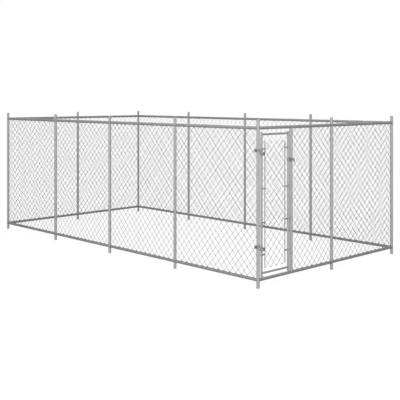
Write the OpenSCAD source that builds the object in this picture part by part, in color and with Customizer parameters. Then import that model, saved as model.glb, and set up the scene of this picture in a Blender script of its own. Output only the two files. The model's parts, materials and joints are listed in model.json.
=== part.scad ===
// Outdoor dog kennel run: a rectangle of round steel posts and rails with chain-link nets,
// and a narrow gate beside one corner post. Millimetres, +Z up, origin on the ground at the
// centre of the run. The long walls run along X, and the gate is in the +X wall.

/* [Frame] */
// Height of a post from the ground to its cap
post_h = 2000; // [1500:10:2400]
// Bay at each end of a long wall, from post axis to post axis
outer_bay = 1468; // [1200:2:1800]
// Bay in the middle of a long wall
inner_bay = 1416; // [1200:2:1800]
// Bay of a short wall
side_bay = 1448; // [1300:2:1800]
// Outside diameter of posts and rails
tube_d = 40; // [36:0.5:48]
// Wall of posts and rails
tube_wall = 1.5; // [1.2:0.1:3]
// Height of the bottom rail's axis
bottom_rail_z = 100; // [60:1:200]
// Post left standing above the top rail's axis
head_h = 100; // [60:1:200]
// Thickness of a post cap's flange
cap_flange = 2; // [1:0.5:5]
// Length of a post cap's plug
cap_plug = 15; // [8:1:40]

/* [Rail joints] */
// Length of the welded spigot that a rail slides over
spigot_len = 60; // [40:1:120]
// Wall of a spigot
spigot_wall = 2; // [1.5:0.1:4]
// Diameter of a rail screw
screw_d = 5; // [4:0.5:8]
// Rail screw's distance from the post axis
screw_from_post = 45; // [35:1:70]
// Width of a rail screw's hexagon head
screw_head_w = 9; // [8:0.5:14]
// Height of a rail screw's head
screw_head_h = 4; // [2:0.5:8]

/* [Net] */
// Thickness of the net wire
wire_d = 4; // [2:0.2:5]
// Width of one diamond
mesh_w = 98; // [60:1:140]
// Height of one diamond
mesh_h = 107; // [60:1:140]
// Every how many wires are drawn
net_step = 2; // [2:1:3]
// Space between a post and the net beside it, besides a tie wire
post_room = 7; // [6:0.5:20]
// Thickness of a tie wire
tie_d = 2; // [1:0.2:3]

/* [Gate] */
// Gateway from the corner post's axis to the jamb's axis
gateway_w = 612; // [560:2:800]
// Outside diameter of the gate's uprights
gate_tube_d = 27; // [26:0.5:36]
// Wall of the gate's tubes
gate_tube_wall = 1.5; // [1.2:0.1:3]
// Space between the corner post and the hinge upright
hinge_room = 29; // [20:0.5:40]
// Space between the latch upright and the jamb
latch_room = 25; // [16:0.5:30]
// Space under the gate, above the bottom rail
gate_low_room = 5; // [4:1:40]
// Space over the gate, under the top rail
gate_top_room = 30; // [10:1:60]
// Outside diameter of the gate's crossbars
crossbar_d = 25; // [18:0.5:26]
// Top crossbar's axis below the upper end of the uprights
crossbar_top_inset = 28; // [20:1:60]
// Bottom crossbar's axis above the lower end of the uprights
crossbar_low_inset = 45; // [20:1:60]
// Diameter of a tension bar
tension_bar_d = 9; // [6:0.5:14]
// Tension bar's axis from the face of its upright
tension_bar_inset = 46; // [44:1:70]
// Lower end of the tension bars above the bottom crossbar's axis
net_low_room = 56; // [30:1:120]
// Upper end of the tension bars below the top crossbar's axis
net_top_room = 86; // [30:1:160]
// Height of a tension band
band_h = 16; // [10:1:30]
// Thickness of a tension band's strap
band_wall = 2; // [1.5:0.1:3]
// Diameter of a tension band's bolt
band_bolt_d = 6; // [4:0.5:8]

/* [Hinges] */
// Upper post clamp's middle below the top rail's axis
hinge_below_rail = 264; // [160:2:500]
// Lower post clamp's middle above the bottom rail's axis
hinge_above_rail = 396; // [200:2:500]
// Gate clamp's middle below the post clamp's middle
hinge_drop = 44; // [42:1:60]
// Height of a clamp
clamp_h = 40; // [30:1:42]
// Thickness of a clamp's strap
clamp_wall = 4; // [3:0.2:4.4]
// Length of a clamp's ears beyond its band
ear_len = 36; // [26:1:38]
// Space between a clamp's ears
ear_gap = 6; // [3:0.5:8]
// Diameter of a clamp bolt
clamp_bolt_d = 10; // [6:0.5:12]
// Diameter of a hinge bolt
pin_d = 12; // [8:0.5:14]
// Hinge bolt's axis outside the plane of the wall
pin_out = 34; // [32:1:50]
// Wall of a hinge eye
eye_wall = 5; // [3:0.5:6]
// Height of a hinge eye
eye_h = 20; // [14:1:22]

/* [Latch] */
// Latch's axis below the top rail's axis
latch_below_rail = 400; // [300:2:900]
// Height of the latch collar
collar_h = 46; // [24:1:50]
// Diameter of the latch's pivot bolt
pivot_d = 8; // [6:0.5:9]
// Thickness of a fork tine
tine_wall = 5; // [3:0.5:8]
// Height of a fork tine
tine_h = 28; // [20:1:40]
// Diameter of the padlock hole
padlock_d = 11; // [8:0.5:14]

/* [Hidden] */
$fn = 48;
steel = "silver";
bright_steel = "lightgray";
dark_steel = "gray";

// Clearances
cope_gap = 0.15;
seat_gap = 0.1;
slip_gap = 0.2;
running_gap = 0.05;
net_gap = 0.3;
cut = 1;

// Frame
tube_r = tube_d / 2;
bore_r = tube_r - tube_wall;
tube_h = post_h - cap_flange;
top_rail_z = post_h - head_h;
rail_zs = [bottom_rail_z, top_rail_z];
long_bays = [outer_bay, inner_bay, inner_bay, outer_bay];
short_bays = [side_bay, side_bay];
wall_bays = [long_bays, short_bays, long_bays, short_bays];
wall_names = ["front", "right", "back", "left"];
function sum(v, n) = n <= 0 ? 0 : v[n - 1] + sum(v, n - 1);
function post_x(w, i) = sum(wall_bays[w], i);
function wall_len(w) = sum(wall_bays[w], len(wall_bays[w]));
run_l = wall_len(0);
run_w = wall_len(1);
corners = [[-run_l, -run_w] / 2, [run_l, -run_w] / 2, [run_l, run_w] / 2, [-run_l, run_w] / 2];
spigot_r = bore_r - slip_gap;
mitre_l = 6 * tube_d;
// Rail screw's shaft past the spigot's inner face
screw_tip = 2;

// Nets: half diamonds across and up, drawn at every net_step-th wire
net_z0 = bottom_rail_z + tube_r + net_gap;
net_z1 = top_rail_z - tube_r - net_gap;
post_side = tube_r + tie_d + post_room;
function half_cells(size, pitch) = 2 * max(1, round(size / (net_step * pitch)));
// Share of a half diamond that the wires leave open
function open_share(p, q) = 1 - wire_d / 2 * norm([p, q]) / (p * q);
// Depth behind a net's edge at which a tie wire clears the fork of two wires: a runs away from
// the edge, b along it, and k is the open share
function tie_depth(a, b, k) = (1 - k) * a + (tie_d / 2 + net_gap) * norm([a, b]) / b - tie_d / 2;
gate_wall = 1;
function net_x0(w, i) = w == gate_wall && i == 0 ? gateway_w + post_side : post_x(w, i) + post_side;
function net_x1(w, i) = post_x(w, i + 1) - post_side;

// Gate, in the gate wall's own frame: x along the wall from the corner post, y into the run
gate_r = gate_tube_d / 2;
gate_z0 = bottom_rail_z + tube_r + gate_low_room;
gate_z1 = top_rail_z - tube_r - gate_top_room;
hinge_x = tube_r + hinge_room + gate_r;
latch_x = gateway_w - tube_r - latch_room - gate_r;
crossbar_zs = [gate_z0 + crossbar_low_inset, gate_z1 - crossbar_top_inset];
bar_r = tension_bar_d / 2;
bar_xs = [hinge_x + gate_r + tension_bar_inset, latch_x - gate_r - tension_bar_inset];
bar_z0 = crossbar_zs[0] + net_low_room;
bar_z1 = crossbar_zs[1] - net_top_room;
// Tension bands, as shares of the tension bar's length
band_shares = [0.106, 0.36, 0.626, 0.942];
band_zs = [for (s = band_shares) bar_z0 + s * (bar_z1 - bar_z0)];
bar_reach = gate_r + tension_bar_inset;
band_r = gate_r + seat_gap;
band_arm = bar_r + seat_gap;
// Arms of a tension band past its tension bar
band_tail = 2;
// Band bolt's place between the strap and the tension bar
band_bolt_share = 0.45;
band_bolt_x = band_r + band_bolt_share * (bar_reach - band_r);

// Hinges
clamp_zs = [bottom_rail_z + hinge_above_rail, top_rail_z - hinge_below_rail];
pin_r = pin_d / 2;
pin_x = hinge_x / 2;
pin_y = -pin_out;
eye_r = pin_r + eye_wall;
// Bolt heads and nuts, as shares of the bolt's diameter
bolt_head_share = 0.5;
nut_w_share = 1.6;
nut_h_share = 0.7;
pin_head_h = 0.6 * pin_d;
// Hinge bolt's thread below its nut
pin_tail = 4;
// A clamp's arm ends in the middle of its eye's wall, short of the bore, and the eye covers its corners
arm_back = pin_r + eye_wall / 2;
arm_cover = 0.5;
arm_w = 2 * (sqrt(pow(eye_r, 2) - pow(arm_back, 2)) - arm_cover);
bolt_grip = ear_gap / 2 + clamp_wall;

// Latch
latch_z = top_rail_z - latch_below_rail;
pivot_r = pivot_d / 2;
// Pivot bolt's space from the latch upright, and from the end of the collar's ears
pivot_room = 2;
ear_margin = 3;
pivot_x = latch_x + gate_r + pivot_r + pivot_room;
ear_end = pivot_x + pivot_r + ear_margin;
collar_y = gate_r + seat_gap + clamp_wall;
// Tine's space beside the jamb, and its length past the jamb
tine_room = 3;
tine_past = 10;
tine_y = max(tube_r + tine_room, collar_y + cut);
tine_end = gateway_w + tube_r + tine_past;
// Padlock pad: its middle from the tine's end and below its axis, and its wall round the hole
pad_inset = 2;
pad_drop = 18;
pad_wall = 10;
pad_x = tine_end - pad_inset;
pad_r = padlock_d / 2 + pad_wall;
// Stop under the outer tine: its start from the pivot's axis, and its thickness
stop_start = 3;
stop_wall = 3;

function names(w, kind, n) = [for (i = [1:n]) str(wall_names[w], "_", kind, "_", i)];
posts = [for (w = [0:3]) names(w, "post", len(wall_bays[w]))];
nets = [for (w = [0:3]) names(w, "net", len(wall_bays[w]))];
rail_levels = ["bottom", "top"];
// Each rail node holds the two rails that meet at a middle post
function rail_name(w, pair, level) = str(wall_names[w], "_", rail_levels[level], "_rails",
    len(wall_bays[w]) > 2 ? str("_", pair + 1) : "");
rails = [for (w = [0:3]) for (pair = [0:len(wall_bays[w]) / 2 - 1]) for (level = [0, 1])
    [rail_name(w, pair, level), w, pair, level]];
ties = [for (w = [0:3]) str(wall_names[w], "_net_ties")];

// A wall's own frame: x along the wall, y into the run
module on_wall(w) {
    translate(corners[w]) rotate(90 * w) children();
}

// Points its children's +Z along the heading a in the ground plane
module heading(a) {
    rotate([0, 90, a]) children();
}

module tube(d, wall, l) {
    difference() {
        cylinder(d = d, h = l);
        translate([0, 0, -cut]) cylinder(d = d - 2 * wall, h = l + 2 * cut);
    }
}

// Screw hole of a rail end on the heading a, on the side of the rail that faces into the run
module screw_hole(a, side) {
    rotate(a) translate([screw_from_post, 0, 0]) rotate([-90 * side, 0, 0])
        cylinder(d = screw_d + 2 * seat_gap, h = tube_r + cut);
}

module post(w, i) {
    color(steel) on_wall(w) translate([post_x(w, i), 0, 0]) tube(tube_d, tube_wall, tube_h);
}

// The half space beyond a mitre
module mitre_cut() {
    translate([-mitre_l / 2, -cope_gap, -tube_d]) cube([mitre_l, mitre_l, 2 * tube_d]);
}

// A rail between post axes at 0 and l, coped to the posts and mitred where it meets a corner
module rail(l, corner_at_start, corner_at_end) {
    difference() {
        heading(0) tube(tube_d, tube_wall, l);
        for (x = [0, l]) translate([x, 0, -tube_d])
            cylinder(r = tube_r + cope_gap, h = 2 * tube_d);
        if (corner_at_start) rotate(45) mitre_cut();
        if (corner_at_end) translate([l, 0, 0]) rotate(-45) mitre_cut();
        screw_hole(0, 1);
        translate([l, 0, 0]) screw_hole(180, -1);
    }
}

// A spigot on the heading a from a post axis at the origin, coped to the post like a rail
module spigot(a, side, at_corner) {
    difference() {
        heading(a) tube(2 * spigot_r, spigot_wall, tube_r + spigot_len);
        translate([0, 0, -tube_d]) cylinder(r = tube_r + cope_gap, h = 2 * tube_d);
        if (at_corner) rotate(45 * side) mitre_cut();
        screw_hole(a, side);
    }
}

module rail_spigots() {
    color(steel) for (w = [0:3]) on_wall(w) for (i = [0:len(wall_bays[w]) - 1]) for (z = rail_zs) {
        translate([post_x(w, i), 0, z]) spigot(0, 1, i == 0);
        translate([post_x(w, i + 1), 0, z]) spigot(180, -1, i == len(wall_bays[w]) - 1);
    }
}

module rail_pair(w, pair, level) {
    last = len(wall_bays[w]) - 1;
    color(steel) on_wall(w) for (i = [2 * pair, 2 * pair + 1])
        translate([post_x(w, i), 0, rail_zs[level]])
            rail(wall_bays[w][i], i == 0, i == last);
}

// Outline of a net of nx by nz half diamonds, notched where a diamond is cut by the edge
function net_edge(nx, nz, p, q, k) = concat(
    [for (i = [0:nx]) each i % 2 == 0 ? [[i * p, 0]] :
        [[(i - k) * p, 0], [i * p, k * q], [(i + k) * p, 0]]],
    [for (j = [1:nz - 1]) each j % 2 == 0 ? [[nx * p, j * q]] :
        [[nx * p, (j - k) * q], [(nx - k) * p, j * q], [nx * p, (j + k) * q]]],
    [for (i = [nx:-1:0]) each i % 2 == 0 ? [[i * p, nz * q]] :
        [[(i + k) * p, nz * q], [i * p, (nz - k) * q], [(i - k) * p, nz * q]]],
    [for (j = [nz - 1:-1:1]) each j % 2 == 0 ? [[0, j * q]] :
        [[0, (j + k) * q], [k * p, j * q], [0, (j - k) * q]]]);

// Centres of the whole diamonds
function net_holes(nx, nz) =
    [for (i = [1:nx - 1]) for (j = [1:nz - 1]) if ((i + j) % 2 == 1) [i, j]];

// A flat net of the given width and height, standing in the plane y = 0
module net(w, h) {
    nx = half_cells(w, mesh_w);
    nz = half_cells(h, mesh_h);
    p = w / nx;
    q = h / nz;
    k = open_share(p, q);
    edge = net_edge(nx, nz, p, q, k);
    holes = net_holes(nx, nz);
    points = concat(edge, [for (c = holes) each [
        [(c[0] - k) * p, c[1] * q], [c[0] * p, (c[1] + k) * q],
        [(c[0] + k) * p, c[1] * q], [c[0] * p, (c[1] - k) * q]]]);
    first = len(edge);
    paths = concat([[for (i = [0:first - 1]) i]],
        [for (n = [0:len(holes) - 1]) [for (m = [0:3]) first + 4 * n + m]]);
    rotate([90, 0, 0]) translate([0, 0, -wire_d / 2]) linear_extrude(wire_d) polygon(points, paths);
}

module wall_net(w, i) {
    color(bright_steel) on_wall(w) translate([net_x0(w, i), 0, net_z0])
        net(net_x1(w, i) - net_x0(w, i), net_z1 - net_z0);
}

// A tie wire round a post or rail and through a net, to the distance reach from the tube's axis
module tie_ring(reach) {
    inner = (tube_r + seat_gap + reach) / 2;
    translate([reach - inner, 0, 0]) rotate_extrude()
        translate([inner + tie_d / 2, 0]) circle(d = tie_d);
}

// Ties of one net: along both rails, and up its two posts at rows that alternate from post to post
module net_ties(w, i) {
    x0 = net_x0(w, i);
    width = net_x1(w, i) - x0;
    nx = half_cells(width, mesh_w);
    nz = half_cells(net_z1 - net_z0, mesh_h);
    p = width / nx;
    q = (net_z1 - net_z0) / nz;
    k = open_share(p, q);
    rail_reach = tube_r + net_gap + tie_depth(q, p, k);
    post_reach = post_side + tie_depth(p, q, k);
    for (n = [2:2:nx - 2]) translate([x0 + n * p, 0, 0]) {
        translate([0, 0, top_rail_z]) rotate([0, 90, 0]) tie_ring(rail_reach);
        translate([0, 0, bottom_rail_z]) rotate([0, -90, 0]) tie_ring(rail_reach);
    }
    for (n = [2:4:nz - 2]) translate([x0 - post_side, 0, net_z0 + n * q]) tie_ring(post_reach);
    for (n = [4:4:nz - 2]) translate([x0 + width + post_side, 0, net_z0 + n * q])
        rotate(180) tie_ring(post_reach);
}

module wall_ties(w) {
    color(bright_steel) on_wall(w) for (i = [0:len(wall_bays[w]) - 1]) net_ties(w, i);
}

module post_caps() {
    color(steel) for (w = [0:3]) on_wall(w) for (i = [0:len(wall_bays[w]) - 1])
        translate([post_x(w, i), 0, tube_h]) {
            cylinder(r = tube_r, h = cap_flange);
            translate([0, 0, -cap_plug]) cylinder(r = bore_r - seat_gap, h = cap_plug + cut / 2);
        }
}

// Hexagon head of width w across its flats
module hex(w, h) {
    cylinder(d = w / cos(30), h = h, $fn = 6);
}

module rail_screw() {
    tip = spigot_r - spigot_wall - screw_tip;
    head = tube_r + seat_gap;
    translate([0, 0, tip]) cylinder(d = screw_d, h = head + screw_head_h / 2 - tip);
    translate([0, 0, head]) hex(screw_head_w, screw_head_h);
}

module rail_screws() {
    color(dark_steel) for (w = [0:3]) on_wall(w) for (i = [0:len(wall_bays[w]) - 1]) for (z = rail_zs)
        for (x = [post_x(w, i) + screw_from_post, post_x(w, i + 1) - screw_from_post])
            translate([x, 0, z]) rotate([-90, 0, 0]) rail_screw();
}

// A tube between two others, coped to them, along its own axis from 0 to l
module coped_tube(d, wall, l, end_d) {
    difference() {
        tube(d, wall, l);
        for (z = [0, l]) translate([0, 0, z]) rotate([0, 90, 0]) translate([0, 0, -end_d])
            cylinder(d = end_d + 2 * cope_gap, h = 2 * end_d);
    }
}

module gate_jamb() {
    color(steel) on_wall(gate_wall) translate([gateway_w, 0, bottom_rail_z])
        coped_tube(tube_d, tube_wall, top_rail_z - bottom_rail_z, tube_d);
}

module gate_upright(x) {
    color(steel) on_wall(gate_wall) translate([x, 0, gate_z0])
        tube(gate_tube_d, gate_tube_wall, gate_z1 - gate_z0);
}

module gate_crossbar(z) {
    color(steel) on_wall(gate_wall) translate([hinge_x, 0, z]) rotate([0, 90, 0])
        coped_tube(crossbar_d, gate_tube_wall, latch_x - hinge_x, gate_tube_d);
}

module gate_net() {
    x0 = bar_xs[0] + bar_r + net_gap;
    x1 = bar_xs[1] - bar_r - net_gap;
    color(bright_steel) on_wall(gate_wall) translate([x0, 0, bar_z0]) net(x1 - x0, bar_z1 - bar_z0);
}

module gate_tension_bars() {
    color(steel) on_wall(gate_wall) for (x = bar_xs) translate([x, 0, bar_z0])
        cylinder(r = bar_r, h = bar_z1 - bar_z0);
}

// A strap round an upright at the origin, whose two arms hold the tension bar on the +X side
module tension_band() {
    arm_l = bar_reach + bar_r + band_tail;
    outer_arm = band_arm + band_wall;
    translate([0, 0, -band_h / 2]) difference() {
        linear_extrude(band_h) difference() {
            union() {
                circle(r = band_r + band_wall);
                translate([0, -outer_arm]) square([arm_l, 2 * outer_arm]);
            }
            circle(r = band_r);
            translate([0, -band_arm]) square([arm_l + cut, 2 * band_arm]);
        }
        translate([band_bolt_x, 0, band_h / 2]) rotate([90, 0, 0])
            cylinder(d = band_bolt_d + 2 * seat_gap, h = 4 * outer_arm, center = true);
    }
}

module at_bands() {
    on_wall(gate_wall) for (z = band_zs) {
        translate([hinge_x, 0, z]) children();
        translate([latch_x, 0, z]) rotate(180) children();
    }
}

module gate_tension_bands() {
    color(dark_steel) at_bands() tension_band();
}

// A bolt along +Y through plates between -grip and +grip, with a round head and a hexagon nut
module cross_bolt(d, grip) {
    head_h = bolt_head_share * d;
    rotate([90, 0, 0]) {
        translate([0, 0, -grip - head_h]) cylinder(d = d, h = 2 * grip + head_h + d);
        translate([0, 0, grip + seat_gap]) hex(nut_w_share * d, nut_h_share * d);
        translate([0, 0, -grip - seat_gap - head_h]) cylinder(d = 2 * d, h = head_h);
    }
}

module gate_band_bolts() {
    color(dark_steel) at_bands() translate([band_bolt_x, 0, 0])
        cross_bolt(band_bolt_d, band_arm + band_wall);
}

// A clamp round a tube of radius r at the origin: ears on the heading ears_at, and an arm to an
// eye at the point eye, which stands from eye_z upwards
module clamp(r, ears_at, eye, eye_z) {
    inner = r + seat_gap;
    outer = inner + clamp_wall;
    difference() {
        union() {
            translate([0, 0, -clamp_h / 2]) cylinder(r = outer, h = clamp_h);
            translate([0, 0, -clamp_h / 2]) rotate(ears_at) translate([0, -bolt_grip, 0])
                cube([outer + ear_len, 2 * bolt_grip, clamp_h]);
            translate([0, 0, eye_z]) rotate(atan2(eye[1], eye[0])) translate([0, -arm_w / 2, 0])
                cube([norm(eye) - arm_back, arm_w, eye_h]);
            translate([eye[0], eye[1], eye_z]) cylinder(r = eye_r, h = eye_h);
        }
        translate([0, 0, -clamp_h]) cylinder(r = inner, h = 2 * clamp_h);
        translate([0, 0, -clamp_h]) rotate(ears_at) translate([0, -ear_gap / 2, 0])
            cube([outer + ear_len + cut, ear_gap, 2 * clamp_h]);
        translate([eye[0], eye[1], eye_z - cut])
            cylinder(r = pin_r + running_gap, h = eye_h + 2 * cut);
        rotate(ears_at) translate([outer + ear_len / 2, 0, 0]) rotate([90, 0, 0])
            cylinder(d = clamp_bolt_d + 2 * seat_gap, h = 6 * bolt_grip, center = true);
    }
}

module hinge_post_clamps() {
    color(dark_steel) on_wall(gate_wall) for (z = clamp_zs) translate([0, 0, z])
        clamp(tube_r, 180, [pin_x, pin_y], -hinge_drop / 2 + slip_gap);
}

module hinge_gate_clamps() {
    color(dark_steel) on_wall(gate_wall) for (z = clamp_zs) translate([hinge_x, 0, z - hinge_drop])
        clamp(gate_r, 0, [pin_x - hinge_x, pin_y], hinge_drop / 2 - slip_gap - eye_h);
}

// Bolts that the gate hangs on: head on the post's eye, nut under the gate's eye
module hinge_bolts() {
    head_z = eye_h + slip_gap + seat_gap;
    nut_z = -eye_h - slip_gap - net_gap - pin_head_h;
    color(dark_steel) on_wall(gate_wall) for (z = clamp_zs)
        translate([pin_x, pin_y, z - hinge_drop / 2]) {
            translate([0, 0, nut_z - pin_tail])
                cylinder(r = pin_r, h = head_z + pin_head_h / 2 - nut_z + pin_tail);
            translate([0, 0, head_z]) hex(nut_w_share * pin_d, pin_head_h);
            translate([0, 0, nut_z]) hex(nut_w_share * pin_d, pin_head_h);
        }
}

module post_clamp_bolts() {
    color(dark_steel) on_wall(gate_wall) for (z = clamp_zs)
        translate([-tube_r - seat_gap - clamp_wall - ear_len / 2, 0, z])
            cross_bolt(clamp_bolt_d, bolt_grip);
}

module gate_clamp_bolts() {
    color(dark_steel) on_wall(gate_wall) for (z = clamp_zs)
        translate([hinge_x + gate_r + seat_gap + clamp_wall + ear_len / 2, 0, z - hinge_drop])
            cross_bolt(clamp_bolt_d, bolt_grip);
}

// A strap bent round the latch upright, with ears for the pivot bolt and a stop under the outer tine
module latch_collar() {
    inner = gate_r + seat_gap;
    outer_tine_y = tine_y + tine_wall;
    stop_z = (collar_h - tine_h) / 2 - stop_wall - net_gap;
    color(dark_steel) on_wall(gate_wall) translate([latch_x, 0, latch_z - collar_h / 2]) difference() {
        union() {
            cylinder(r = collar_y, h = collar_h);
            translate([0, -collar_y, 0]) cube([ear_end - latch_x, 2 * collar_y, collar_h]);
            translate([pivot_x - latch_x + stop_start, -outer_tine_y, stop_z])
                cube([ear_end - pivot_x - stop_start, outer_tine_y - collar_y + cut, stop_wall]);
        }
        translate([0, 0, -cut]) cylinder(r = inner, h = collar_h + 2 * cut);
        translate([0, -inner, -cut])
            cube([ear_end - latch_x + cut, 2 * inner, collar_h + 2 * cut]);
        translate([pivot_x - latch_x, 0, collar_h / 2]) rotate([90, 0, 0])
            cylinder(r = pivot_r + running_gap, h = 4 * collar_y, center = true);
    }
}

// One tine: a flat bar from the pivot past the jamb, with a pad for a padlock below its tip
module tine() {
    rotate([90, 0, 0]) linear_extrude(tine_wall) difference() {
        union() {
            circle(d = tine_h);
            translate([0, -tine_h / 2]) square([tine_end - pivot_x, tine_h]);
            translate([pad_x - pivot_x, -pad_drop]) circle(r = pad_r);
        }
        circle(r = pivot_r + seat_gap);
        translate([pad_x - pivot_x, -pad_drop]) circle(d = padlock_d);
    }
}

module latch_fork() {
    color(dark_steel) on_wall(gate_wall) for (y = [-tine_y, tine_y + tine_wall])
        translate([pivot_x, y, latch_z]) tine();
}

// The fork's pivot bolt, with shoulders that keep the tines off the collar's ears
module latch_pivot_bolt() {
    shoulder_h = tine_y - collar_y - 2 * seat_gap;
    color(dark_steel) on_wall(gate_wall) translate([pivot_x, 0, latch_z]) {
        cross_bolt(pivot_d, tine_y + tine_wall);
        for (side = [-1, 1]) translate([0, side * (collar_y + tine_y) / 2, 0]) rotate([90, 0, 0])
            cylinder(r = pivot_r + ear_margin, h = shoulder_h, center = true);
    }
}

for (w = [0:3]) for (i = [0:len(posts[w]) - 1])
    post(w, i);
for (r = rails) rail_pair(r[1], r[2], r[3]);
for (w = [0:3]) for (i = [0:len(nets[w]) - 1])
    wall_net(w, i);
for (w = [0:3]) wall_ties(w);
post_caps();
rail_spigots();
rail_screws();
gate_jamb();
gate_upright(hinge_x);  // gate_hinge_upright
gate_upright(latch_x);  // gate_latch_upright
gate_crossbar(crossbar_zs[1]);  // gate_top_crossbar
gate_crossbar(crossbar_zs[0]);  // gate_bottom_crossbar
gate_net();
gate_tension_bars();
gate_tension_bands();
gate_band_bolts();
hinge_post_clamps();
hinge_gate_clamps();
hinge_bolts();
post_clamp_bolts();
gate_clamp_bolts();
latch_collar();
latch_fork();
latch_pivot_bolt();
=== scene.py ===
"""Looks of the outdoor dog kennel run: woven nets, tie wires, weld beads and galvanised finishes."""

import json
import math

import bpy
import numpy as np
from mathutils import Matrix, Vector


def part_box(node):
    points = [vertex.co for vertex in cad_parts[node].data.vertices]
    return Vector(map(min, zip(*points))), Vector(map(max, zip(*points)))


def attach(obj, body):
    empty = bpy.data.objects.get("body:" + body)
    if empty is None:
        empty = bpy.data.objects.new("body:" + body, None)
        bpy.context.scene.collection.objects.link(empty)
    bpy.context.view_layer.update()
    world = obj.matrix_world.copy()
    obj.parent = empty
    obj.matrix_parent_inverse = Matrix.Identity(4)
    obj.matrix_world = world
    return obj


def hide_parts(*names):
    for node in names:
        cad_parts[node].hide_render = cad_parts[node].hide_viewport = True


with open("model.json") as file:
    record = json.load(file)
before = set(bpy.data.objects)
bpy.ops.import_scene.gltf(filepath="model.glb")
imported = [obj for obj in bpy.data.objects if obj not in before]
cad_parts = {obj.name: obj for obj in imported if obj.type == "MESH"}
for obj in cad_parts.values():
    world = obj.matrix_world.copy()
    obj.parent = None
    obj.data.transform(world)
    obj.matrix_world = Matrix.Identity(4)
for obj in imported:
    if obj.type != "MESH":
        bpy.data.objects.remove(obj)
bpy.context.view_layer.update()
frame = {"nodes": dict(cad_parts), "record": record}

MM = 0.001
# Thickness of the nets' wire and of the tie wire
WIRE = 4.0 * MM
TIE = 2.0 * MM
# A diamond of the net, from crossing to crossing
DIAMOND_WIDE, DIAMOND_HIGH = 98.2 * MM, 107.3 * MM
# Radius of posts and rails, of the gate's uprights and of its crossbars
TUBE = 20 * MM
GATE_TUBE = 13.5 * MM
CROSSBAR = 12.5 * MM
UP = np.array([0.0, 0.0, 1.0])
# Each wall's direction along itself and into the run
WALLS = {
    "front": ((1, 0, 0), (0, 1, 0)),
    "right": ((0, 1, 0), (-1, 0, 0)),
    "back": ((-1, 0, 0), (0, -1, 0)),
    "left": ((0, -1, 0), (1, 0, 0)),
    "gate": ((0, 1, 0), (-1, 0, 0)),
}


def linear(hex_colour):
    """An sRGB hex colour as linear red, green, blue and alpha, with the sRGB curve undone."""
    c = np.array([int(hex_colour[i : i + 2], 16) for i in (1, 3, 5)]) / 255
    c = np.where(c <= 0.04045, c / 12.92, ((c + 0.055) / 1.055) ** 2.4)
    return (*c, 1.0)


def add(tree, kind, settings=None, **links):
    """One node: settings are its properties, links are values or sockets for inputs by name or number."""
    node = tree.nodes.new("ShaderNode" + kind)
    for key, value in (settings or {}).items():
        setattr(node, key, value)
    for key, value in links.items():
        socket = node.inputs[int(key[1:]) if key[0] == "_" else key.replace("_", " ")]
        if isinstance(value, bpy.types.NodeSocket):
            tree.links.new(value, socket)
        else:
            socket.default_value = value
    return node


def new_material(name):
    material = bpy.data.materials.new(name)
    material.use_nodes = True
    tree = material.node_tree
    tree.nodes.clear()
    return material, tree


# Zinc: width and strength of the cloudy tone, spread of the roughness, and strength and depth of the
# skin's bump
CLOUD, CLOUD_TONE = 160 * MM, 0.6
ROUGH_SPREAD = 0.14
BUMP_STRENGTH, BUMP_DEPTH = 0.12, 0.4 * MM


def galvanised(name, low, high, spangle, contrast, metallic, roughness, grain):
    """Zinc on steel. Crystals of the zinc, spangle metres wide, each turn the light a little their own
    way: a Voronoi cell's random grey picks the colour between low and high and moves the roughness. A
    slow noise adds the cloudy tone that the dip leaves, and a fine noise, grain metres wide, gives the
    bump of the frozen skin."""
    material, tree = new_material(name)
    place = add(tree, "TexCoord").outputs["Object"]
    cells = add(tree, "TexVoronoi", Vector=place, Scale=1 / spangle)
    cell_grey = add(tree, "SeparateColor", Color=cells.outputs["Color"]).outputs["Red"]
    cloud = add(tree, "TexNoise", Vector=place, Scale=1 / CLOUD, Detail=3.0).outputs["Fac"]
    share = add(tree, "Math", {"operation": "MULTIPLY_ADD"}, _0=cell_grey, _1=contrast, _2=0.5 - contrast / 2)
    tone = add(tree, "Math", {"operation": "MULTIPLY_ADD"}, _0=cloud, _1=CLOUD_TONE, _2=-CLOUD_TONE / 2)
    both = add(tree, "Math", {"operation": "ADD", "use_clamp": True}, _0=share.outputs[0], _1=tone.outputs[0])
    colour = add(tree, "Mix", {"data_type": "RGBA"}, _0=both.outputs[0], _6=linear(low), _7=linear(high))
    rough = add(tree, "Math", {"operation": "MULTIPLY_ADD"}, _0=cell_grey, _1=ROUGH_SPREAD,
                _2=roughness - ROUGH_SPREAD / 2)
    fine = add(tree, "TexNoise", Vector=place, Scale=1 / grain, Detail=2.0).outputs["Fac"]
    bump = add(tree, "Bump", Height=fine, Strength=BUMP_STRENGTH, Distance=BUMP_DEPTH)
    shader = add(tree, "BsdfPrincipled", Base_Color=colour.outputs[2], Roughness=rough.outputs[0],
                 Metallic=metallic, Specular_IOR_Level=0.2, Normal=bump.outputs[0])
    add(tree, "OutputMaterial", Surface=shader.outputs[0])
    return material


# Hot-dip galvanised tube: pale satin grey with a faint spangle of about 9 mm. The gate's hinge clamps take it
# too, paler than their own straps, as painted light against the shade that the corner post casts on them
tube_zinc = galvanised("hot_dip_galvanised_steel", "#8e8e8e", "#a8a8a8", 9 * MM, 0.5, 0.15, 0.45, 3 * MM)
# Rails and the gate's crossbars: the same tube painted a shade darker, as painted shade for horizontal tubes
# that catch less of the light
rail_zinc = galvanised("rail_painted_shade_galvanised_steel", "#828282", "#9a9a9a", 9 * MM, 0.5, 0.15, 0.48, 3 * MM)
# Bottom rails: the rails' copy again, a step darker, as painted shade for low rails with dark undersides
low_rail_zinc = galvanised("bottom_rail_painted_shade_galvanised_steel", "#7a7a7a", "#929292", 9 * MM, 0.5,
                           0.12, 0.5, 3 * MM)
# Galvanised wire and the tension bars: drawn before coating, so crystals are small and the tone is even
wire_zinc = galvanised("galvanised_drawn_wire", "#606060", "#747474", 3 * MM, 0.4, 0.1, 0.46, 1.5 * MM)
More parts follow.
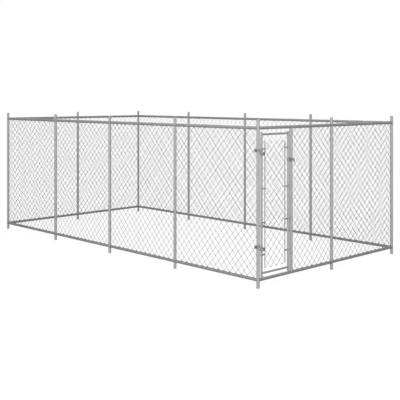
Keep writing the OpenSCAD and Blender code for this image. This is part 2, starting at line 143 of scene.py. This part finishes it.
# Zinc-plated pressed straps of the post's hinge clamps, the bands and the latch: dulled by handling
strap_zinc = galvanised("zinc_plated_pressed_strap", "#7e7e7e", "#969696", 5 * MM, 0.4, 0.4, 0.4, 2 * MM)
# Zinc-plated bolts: thin plating over forged heads, the darkest metal on the run
bolt_zinc = galvanised("zinc_plated_bolt_steel", "#565656", "#6e6e6e", 4 * MM, 0.4, 0.45, 0.38, 2 * MM)
# Weld beads brushed with cold zinc paint: matt, a shade duller than the tube
weld_zinc = galvanised("zinc_painted_weld", "#808080", "#9a9a9a", 5 * MM, 0.5, 0.1, 0.62, 1.2 * MM)
SLOT_MATERIAL = {"galvanised_tube": tube_zinc, "galvanised_wire": wire_zinc,
                 "zinc_plated_hardware": strap_zinc}


def make_piece(name, points, faces, material, body, slot, *stands_for):
    """A mesh from an array of points and an array of four-cornered faces, put on a body."""
    mesh = bpy.data.meshes.new(name)
    mesh.vertices.add(len(points))
    mesh.vertices.foreach_set("co", np.ascontiguousarray(points, np.float32).ravel())
    mesh.loops.add(faces.size)
    mesh.loops.foreach_set("vertex_index", np.ascontiguousarray(faces, np.int32).ravel())
    mesh.polygons.add(len(faces))
    mesh.polygons.foreach_set("loop_start", np.arange(0, faces.size, 4, dtype=np.int32))
    mesh.polygons.foreach_set("use_smooth", np.ones(len(faces), bool))
    mesh.update(calc_edges=True)
    mesh.materials.append(material)
    piece = bpy.data.objects.new(name, mesh)
    bpy.context.scene.collection.objects.link(piece)
    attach(piece, body)
    if stands_for:
        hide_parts(*stands_for)
    return piece


def unit(v):
    return v / np.linalg.norm(v, axis=-1, keepdims=True)


def round_wire(paths, across, radius, sides=6, closed=False):
    """Round wire along many paths at once, an array of paths by points by 3. At each point a ring of
    sides points lies on a circle square to the path. The ring starts on the part of across that is
    square to the path, so no path may run along across. Open wires end in flat caps of two faces,
    which takes six sides."""
    if closed:
        along = np.roll(paths, -1, 1) - np.roll(paths, 1, 1)
    else:
        along = np.gradient(paths, axis=1)
    along = unit(along)
    across = np.broadcast_to(across, paths.shape)
    first = unit(across - (across * along).sum(-1, keepdims=True) * along)
    second = np.cross(along, first)
    turn = (np.arange(sides) * 2 * np.pi / sides)[:, None]
    circle = np.cos(turn) * first[:, :, None] + np.sin(turn) * second[:, :, None]
    rings = paths[:, :, None] + radius * circle
    count, length = paths.shape[:2]
    index = np.arange(count * length * sides).reshape(count, length, sides)
    ahead = np.roll(index, -1, 1) if closed else index[:, 1:]
    here = index if closed else index[:, :-1]
    skin = np.stack([here, np.roll(here, -1, 2), np.roll(ahead, -1, 2), ahead], -1).reshape(-1, 4)
    if closed:
        return rings.reshape(-1, 3), skin
    start, end = index[:, 0], index[:, -1]
    first_caps = [start[:, [3, 2, 1, 0]], start[:, [0, 5, 4, 3]]]
    last_caps = [end[:, [0, 1, 2, 3]], end[:, [3, 4, 5, 0]]]
    return rings.reshape(-1, 3), np.concatenate([skin, *first_caps, *last_caps])


def wall_frame(node, wall):
    """Start corner, width, height, and the wall's two directions for a net node, from its box."""
    low, high = (np.array(v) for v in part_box(node))
    along, inward = (np.array(v, float) for v in WALLS[wall])
    middle = (low + high) / 2
    width = abs((high - low) @ along)
    start = np.array([middle[0], middle[1], low[2]]) - along * width / 2
    return start, width, high[2] - low[2], along, inward


def net_counts(width, height):
    """Half diamonds across, one for each spiral, and up, one between two bends of a spiral."""
    return round(2 * width / DIAMOND_WIDE), round(2 * height / DIAMOND_HIGH)


# Where a spiral's points lie between two bends, as shares of a half diamond's height from the nearer bend
BEND_SHARES = np.array([-0.5, -0.3, -0.14, -0.075, -0.038, -0.014, 0.014, 0.038, 0.075, 0.14, 0.3])
# Points below the first bend and above the last one, which are left off a spiral
FIRST_POINT, LAST_POINT = 6, -5
# A bend, in the same shares: roundness of its tip, width of the hook, and length of the change of face
TIP_ROUND, HOOK_WIDE, FACE_CHANGE = 0.03, 0.13, 0.035
# A bend, in wires: how far its hook passes the column, and how far a run lies from the net's middle
HOOK_PAST, RUN_DEPTH = 0.55, 0.75
# Space between a net's edge and a rail
RAIL_GAP = 0.3 * MM
# A wire's end over a rail: where it starts and stops round the rail, in degrees, its points, and how far
# it runs on along the wall
END_START, END_STOP, END_POINTS = 9, 62, 6
END_DRIFT = 7 * MM
# The gate net's knuckles: where the hook starts, in degrees
KNUCKLE_START = 20
# And in wires: the hook's radius, its middle's depth, its tail's depth and drop, and its drift
KNUCKLE, KNUCKLE_DEPTH, TAIL_DEPTH, TAIL_DROP, KNUCKLE_DRIFT = 1.25, 0.5, 1.75, 1.0, 0.65
# How far the gate net's side loops reach along the gate and across it, to go round a tension bar
BAR_REACH, BAR_DEPTH = 11.5 * MM, 4.8 * MM


def net_paths(width, height, edge_reach, edge_depth):
    """Centre lines of a woven net's spirals, in the wall's own frame: along, inward, up.

    Spiral k zigzags between the half-diamond columns k and k + 1, with a bend at each half-diamond
    row. Along the wall it follows a triangle wave whose tips are rounded by a hyperbola and pass half
    a wire beyond the column, so that it hooks its neighbour. Its depth is a hyperbolic tangent of the
    height above the bend: the runs that rise with the wall's direction lie outside, the others inside.
    edge_reach and edge_depth widen the outermost bends by a bell curve of the height, so that they go
    round a tension bar."""
    columns, rows = net_counts(width, height)
    half_w, half_h = width / columns, height / rows
    spiral = np.arange(columns)[:, None, None]
    row = np.arange(rows + 1)[None, :, None]
    share = np.broadcast_to(BEND_SHARES, (columns, rows + 1, len(BEND_SHARES)))
    side = np.where((row + spiral) % 2 == 0, -1.0, 1.0)
    outermost = ((spiral == 0) & (side < 0) | (spiral == columns - 1) & (side > 0)).astype(float)
    run = np.sqrt(share**2 + TIP_ROUND**2) - TIP_ROUND
    tip = 1 - run / (math.sqrt(0.25 + TIP_ROUND**2) - TIP_ROUND)
    near = np.exp(-((share / HOOK_WIDE) ** 2))
    reach = half_w / 2 * tip + (HOOK_PAST * WIRE * (1 - outermost) + edge_reach * outermost) * near
    swing = np.where((row == 0) | (row == rows), np.sign(share), np.tanh(share / FACE_CHANGE))
    x = (spiral + 0.5) * half_w + side * reach
    y = side * swing * (RUN_DEPTH * WIRE + edge_depth * outermost * near)
    z = (row + share) * half_h
    paths = np.stack(np.broadcast_arrays(x, y, z), -1).reshape(columns, -1, 3)
    return paths[:, FIRST_POINT:LAST_POINT]


def wire_ends(paths, height):
    """The bottom and the top end of all paths, each with what the ends need: their place along the
    wall, the side that the wire lies on, the way that it runs along the wall, whether it points up or
    down, and the height of the net's edge there."""
    bottom = paths[:, 0], paths[:, 1], -1.0, 0.0
    top = paths[:, -1], paths[:, -2], 1.0, height
    for last, before, up, edge in (bottom, top):
        yield last[:, :1], np.sign(last[:, 1:2]), np.sign(last[:, :1] - before[:, :1]), up, edge


def with_ends(paths, ends):
    """Paths with their bottom ends, turned round, before them and their top ends after them."""
    return np.concatenate([ends[0][:, ::-1], paths, ends[1]], 1)


def over_rail(paths, height):
    """The ends of a wall net's spirals, bent over the rails: from its last run each wire goes on round
    the rail's skin, on the side that the run lies on, through a sixth of a circle, and a little
    further along the wall."""
    ring = TUBE + WIRE / 2 + RAIL_GAP
    turn = np.radians(np.linspace(END_START, END_STOP, END_POINTS))[None]
    drift = END_DRIFT * np.linspace(0.1, 1, END_POINTS)[None]
    ends = []
    for x, side, way, up, edge in wire_ends(paths, height):
        depth = side * ring * np.sin(turn)
        level = edge + up * (TUBE + RAIL_GAP - ring * np.cos(turn)) + 0 * side
        ends.append(np.stack([x + way * drift, depth, level], -1))
    return with_ends(paths, ends)


def knuckled(paths, height):
    """The ends of the gate net's spirals, hooked round each other: from its last run each wire goes on
    through a half circle over its neighbour's end, to the net's other face, and a wire's width back."""
    turn = np.radians(np.linspace(KNUCKLE_START, 180, END_POINTS))
    depth = WIRE * np.append(KNUCKLE * np.cos(turn) - KNUCKLE_DEPTH, -TAIL_DEPTH)[None]
    rise = WIRE * np.append(KNUCKLE * np.sin(turn), -TAIL_DROP)[None]
    drift = KNUCKLE_DRIFT * WIRE * np.linspace(0.4, 1, END_POINTS + 1)[None]
    ends = []
    for x, side, way, up, edge in wire_ends(paths, height):
        ends.append(np.stack([x + way * drift, side * depth, edge + up * rise + 0 * side], -1))
    return with_ends(paths, ends)


def chain_link(node, wall, body, edge_reach=0.0, edge_depth=0.0):
    """A woven net in place of a flat one: bent over its rails on a wall, knuckled on the gate."""
    start, width, height, along, inward = wall_frame(node, wall)
    paths = net_paths(width, height, edge_reach, edge_depth)
    paths = over_rail(paths, height) if body == "frame" else knuckled(paths, height)
    placed = start + paths[..., :1] * along + paths[..., 1:2] * inward + paths[..., 2:] * UP
    points, faces = round_wire(placed, along, WIRE / 2)
    return make_piece("woven_" + node, points, faces, wire_zinc, body, "galvanised_wire", node)


bodies = frame["record"]["behaviour"]["bodies"]
wall_nets = [n for n in bodies["frame"] if "_net_" in n and not n.endswith("ties")]
for net in wall_nets:
    chain_link(net, net.split("_")[0], "frame")
chain_link("gate_net", "gate", "gate", BAR_REACH, BAR_DEPTH)

# Ties: radius of the ring round a tube, reach of the tip from a rail's and from a post's axis, and how
# far a net starts from a post's axis
TIE_RING = TUBE + TIE / 2 + 0.2 * MM
RAIL_REACH, POST_REACH = TUBE + 11 * MM, TUBE + 17 * MM
POST_SIDE = 29 * MM
# Shares of a tie's straights, from its tip, at which their points lie
LEG_SHARES = np.array([[0.06], [0.5]])
# Points round a tie's ring and along its twisted tail, and the tail's turns
RING_POINTS, TAIL_POINTS, TAIL_TURNS = 17, 13, 2
# A tail's start behind the tip and inside the net, and how far it leans back and goes on inwards
TAIL_BACK, TAIL_IN = 3 * MM, 4 * MM
TAIL_LEAN, TAIL_LENGTH = 9 * MM, 11 * MM
# Half diamonds from tie to tie on a rail and on a post
RAIL_STEP, POST_STEP = 4, 8


def tie_loop(reach):
    """Closed outline of a tie: two straights from the tip to where they touch the circle round the
    tube, and the rest of that circle. The touching points lie at the angle whose cosine is the
    circle's share of the reach."""
    touch = math.acos(TIE_RING / reach)
    arc = np.linspace(touch, 2 * np.pi - touch, RING_POINTS)
    circle = TIE_RING * np.stack([np.cos(arc), np.sin(arc)], -1)
    tip = np.array([[reach, 0.0]])
    first_leg = tip + (circle[:1] - tip) * LEG_SHARES
    last_leg = tip + (circle[-1:] - tip) * LEG_SHARES
    return np.concatenate([first_leg, circle, last_leg[::-1]])


def tie_tail(reach):
    """Two strands twisted round each other: helices half a turn apart whose axis leans back towards
    the tube."""
    t = np.linspace(0, 1, TAIL_POINTS)
    strands = []
    for phase in (0, np.pi):
        swirl = TAIL_TURNS * 2 * np.pi * t + phase
        away = reach - TAIL_BACK - TAIL_LEAN * t + TIE / 2 * np.cos(swirl)
        strands.append(np.stack([away, TAIL_IN + TAIL_LENGTH * t, TIE / 2 * np.sin(swirl)], -1))
    return np.array(strands)


def wall_ties(wall):
    """All ties of a wall: on both rails at every second diamond, and on the two posts beside each net
    at rows that alternate from post to post. A net's bends lie at even half diamonds on its bottom and
    left edges, and at odd ones on an edge that an odd count leads to. Each tie has its own directions:
    away from the tube, into the run, along the tube."""
    spans = []
    for net in wall_nets:
        if not net.startswith(wall):
            continue
        start, width, height, along, inward = wall_frame(net, wall)
        columns, rows = net_counts(width, height)
        bottom = -TUBE - RAIL_GAP, UP, RAIL_STEP
        top = height + TUBE + RAIL_GAP, -UP, RAIL_STEP - rows % 2
        for base, away, first in (bottom, top):
            for step in np.arange(first, columns - 1, RAIL_STEP) * width / columns:
                spans.append((start + along * step + UP * base, away, inward, along, RAIL_REACH))
        near = -POST_SIDE, along, POST_STEP // 2
        far = width + POST_SIDE, -along, POST_STEP - columns % 2
        for base, away, first in (near, far):
            for step in np.arange(first, rows - 1, POST_STEP) * height / rows:
                spans.append((start + along * base + UP * step, away, inward, UP, POST_REACH))
    loops = np.array([c + tie_loop(r) @ np.array([a, i]) for c, a, i, _, r in spans])
    tails = np.concatenate([c + tie_tail(r) @ np.array([a, i, t]) for c, a, i, t, r in spans])
    tube_way = np.array([t for _, _, _, t, _ in spans])
    rings, ring_faces = round_wire(loops, tube_way[:, None], TIE / 2, closed=True)
    twists, twist_faces = round_wire(tails, np.repeat(tube_way, 2, 0)[:, None], TIE / 2)
    points = np.concatenate([rings, twists])
    faces = np.concatenate([ring_faces, twist_faces + len(rings)])
    make_piece(wall + "_tie_wires", points, faces, wire_zinc, "frame", "galvanised_wire", wall + "_net_ties")


for wall in ("front", "right", "back", "left"):
    wall_ties(wall)

# Weld beads: points round a joint, and the bead's radius on the gate and on the jamb
BEAD_POINTS = 72
GATE_BEAD, JAMB_BEAD = 2.2 * MM, 2.4 * MM


def weld_bead(centre, branch, main, branch_radius, main_radius):
    """Path of the bead where a branch tube stands on a main tube: the curve at which the two cylinders
    meet. Round the branch by the angle a, the curve stands off the main tube's axis by the root of its
    radius squared less the square of the side step."""
    a = np.linspace(0, 2 * np.pi, BEAD_POINTS, endpoint=False)[:, None]
    step = branch_radius * np.sin(a)
    stand = np.sqrt(np.maximum(main_radius**2 - step**2, 0))
    return centre + stand * branch + step * np.cross(branch, main) + branch_radius * np.cos(a) * main


def middle_of(node):
    """Middle of a node's box."""
    low, high = (np.array(v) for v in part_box(node))
    return (low + high) / 2


def weld_piece(name, joints, radius, body):
    """Beads of several joints in one mesh. Each bead's ring is square to its path, from the branch's
    direction."""
    paths = np.array([weld_bead(*joint) for joint in joints])
    branches = np.array([joint[1] for joint in joints])[:, None]
    points, faces = round_wire(paths, branches, radius, sides=8, closed=True)
    make_piece(name, points, faces, weld_zinc, body, "galvanised_tube")


gate_along = np.array(WALLS["gate"][0], float)
gate_joints = []
for bar in ("gate_top_crossbar", "gate_bottom_crossbar"):
    for upright, way in (("gate_hinge_upright", gate_along), ("gate_latch_upright", -gate_along)):
        foot = middle_of(upright)
        foot[2] = middle_of(bar)[2]
        gate_joints.append((foot, way, UP, CROSSBAR, GATE_TUBE))
weld_piece("gate_weld_beads", gate_joints, GATE_BEAD, "gate")
jamb = middle_of("gate_jamb")
jamb_joints = []
for rail, way in (("right_bottom_rails", UP), ("right_top_rails", -UP)):
    foot = np.array([jamb[0], jamb[1], middle_of(rail)[2]])
    jamb_joints.append((foot, way, gate_along, TUBE, TUBE))
weld_piece("jamb_weld_beads", jamb_joints, JAMB_BEAD, "frame")

slots = {part["node"]: part["material_slot"] for part in frame["record"]["subparts"]}
for name, obj in frame["nodes"].items():
    obj.data.materials.clear()
    material = SLOT_MATERIAL[slots[name]]
    if name.endswith(("bolts", "bolt", "screws")):
        material = bolt_zinc
    # Bottom rails take the darkest copy of the tube's zinc: painted shade
    elif "_bottom_rails" in name:
        material = low_rail_zinc
    # Rails and crossbars take the darker copy of the tube's zinc: painted shade
    elif "_rails" in name or name.endswith("crossbar"):
        material = rail_zinc
    # The gate's hinge clamps take the paler tube zinc: painted light where the corner post shades them
    elif name == "hinge_gate_clamps":
        material = tube_zinc
    elif name == "gate_tension_bars":
        material = wire_zinc
    obj.data.materials.append(material)


def background_ray(tree):
    """1 for a ray that should meet the white background: from the camera, off metal or through glass."""
    path = add(tree, "LightPath").outputs
    seen = add(tree, "Math", {"operation": "MAXIMUM"}, _0=path["Is Camera Ray"], _1=path["Is Glossy Ray"])
    seen = add(tree, "Math", {"operation": "MAXIMUM"}, _0=seen.outputs[0], _1=path["Is Transmission Ray"])
    return seen.outputs[0]


# Floor: a pale plane that lamps light near the run and that fades to the background's white further out
FLOOR_HALF, FLOOR_DROP = 60.0, 0.5 * MM
# Distances from the run's middle at which the fade starts and ends
FADE_START, FADE_END = 3.5, 9.0
corners = np.array([[-1, -1, 0], [1, -1, 0], [1, 1, 0], [-1, 1, 0]]) * FLOOR_HALF - UP * FLOOR_DROP
floor_mesh = bpy.data.meshes.new("floor")
floor_mesh.from_pydata(corners.tolist(), [], [[0, 1, 2, 3]])
floor = bpy.data.objects.new("floor", floor_mesh)
bpy.context.scene.collection.objects.link(floor)
floor_paint, tree = new_material("studio_floor_paint")
distance = add(tree, "VectorMath", {"operation": "LENGTH"}, _0=add(tree, "TexCoord").outputs["Object"])


def fade_out(near, far):
    """A value that goes from near, by the run, to far, where the floor is background."""
    return add(tree, "MapRange", {"interpolation_type": "SMOOTHSTEP"}, Value=distance.outputs["Value"],
               From_Min=FADE_START, From_Max=FADE_END, To_Min=near, To_Max=far).outputs[0]


# By the run the floor is part matt, so that it keeps the shadow, and its own white makes up for that
white_share = add(tree, "Math", {"operation": "MULTIPLY"}, _0=background_ray(tree), _1=fade_out(0.85, 1.0))
matt = add(tree, "BsdfDiffuse", Color=linear("#a8a8a8"))
glow = add(tree, "Emission", Color=(1, 1, 1, 1), Strength=fade_out(1.12, 1.0))
blend = add(tree, "MixShader", _0=white_share.outputs[0], _1=matt.outputs[0], _2=glow.outputs[0])
add(tree, "OutputMaterial", Surface=blend.outputs[0])
floor_mesh.materials.append(floor_paint)

# World: white where a camera, glossy or transmitted ray sees it, and a plain grey light otherwise
WORLD_LIGHT = 0.15
world = bpy.data.worlds.new("studio")
bpy.context.scene.world = world
world.use_nodes = True
tree = world.node_tree
tree.nodes.clear()
strength = add(tree, "MapRange", Value=background_ray(tree), To_Min=WORLD_LIGHT, To_Max=1.0)
sky = add(tree, "Background", Color=(1, 1, 1, 1), Strength=strength.outputs[0])
add(tree, "OutputWorld", Surface=sky.outputs[0])


def soft_lamp(name, place, target, size, watts):
    """A square area lamp at place, turned so that its face looks at target."""
    lamp = bpy.data.lights.new(name, "AREA")
    lamp.size, lamp.energy = size, watts
    obj = bpy.data.objects.new(name, lamp)
    bpy.context.scene.collection.objects.link(obj)
    look = np.array(target, float) - np.array(place, float)
    flat = math.hypot(look[0], look[1])
    obj.location = place
    obj.rotation_euler = (math.atan2(flat, -look[2]), 0, math.atan2(-look[0], look[1]))


soft_lamp("key", (9.8, -11.8, 8.4), (1.0, 0.0, 0.6), 13.0, 3400)
soft_lamp("back", (-9.0, 12.0, 7.0), (0.0, 0.0, 0.6), 10.0, 2000)

# Camera: level, so that posts stand upright in the picture, with its frame shifted down to the run
EYE = (8.9156, -8.2138, 2.2512)
# Direction of its look, as an angle from the x axis
HEADING = 2.3748
camera = bpy.data.cameras.new("camera")
camera.sensor_width, camera.lens, camera.shift_y = 36.0, 68.69, -0.2542
camera.clip_start, camera.clip_end = 0.1, 200.0
eye = bpy.data.objects.new("camera", camera)
bpy.context.scene.collection.objects.link(eye)
eye.location = EYE
eye.rotation_euler = (math.pi / 2, 0, HEADING - math.pi / 2)
bpy.context.scene.camera = eye
bpy.context.scene.view_settings.view_transform = "Standard"
